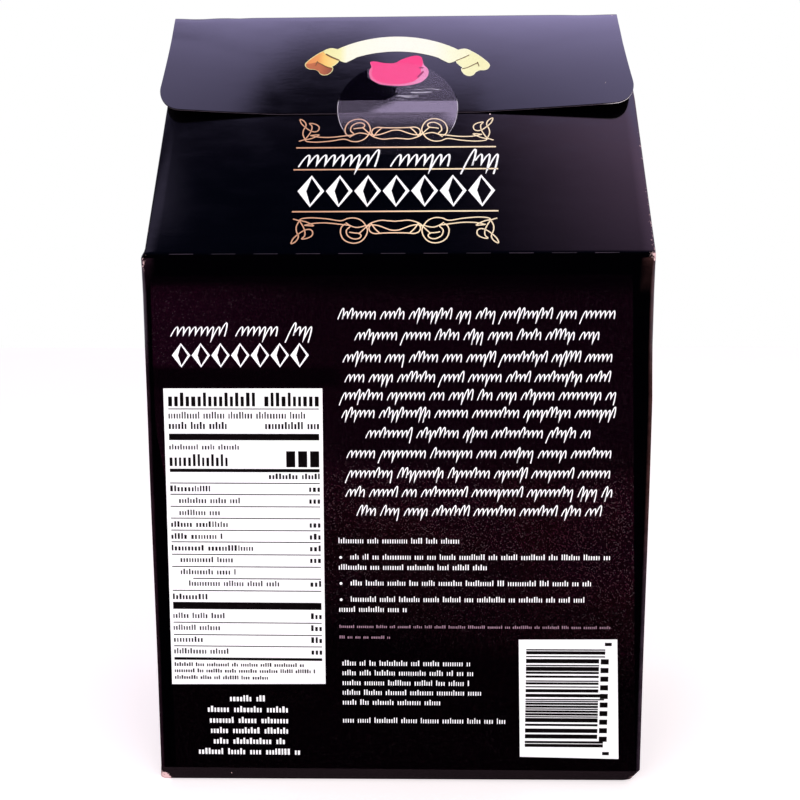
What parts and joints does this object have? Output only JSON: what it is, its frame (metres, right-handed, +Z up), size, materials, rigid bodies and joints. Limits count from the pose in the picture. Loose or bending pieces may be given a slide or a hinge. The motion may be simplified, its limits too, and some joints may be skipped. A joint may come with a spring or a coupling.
{
  "type": "gable-top paperboard carton of nut brittle",
  "caption": "Shut gable-top paperboard carton for nut brittle, its closing flap folded over the ridge and held down by a clear round seal.",
  "frame": {"origin": "middle of the carton's base, on the surface it stands on", "axes": "+Z is up, the panel under the closing flap faces -Y, and +X is to the right seen from the front"},
  "size_m": [0.1741, 0.113, 0.2841],
  "materials": {
    "printed_board": "black print under a glossy varnish",
    "clear_film": "clear, glossy and slightly milky"
  },
  "bodies": {
    "root": {"carton": "printed_board", "closure_seal": "clear_film"}
  },
  "joints": []
}
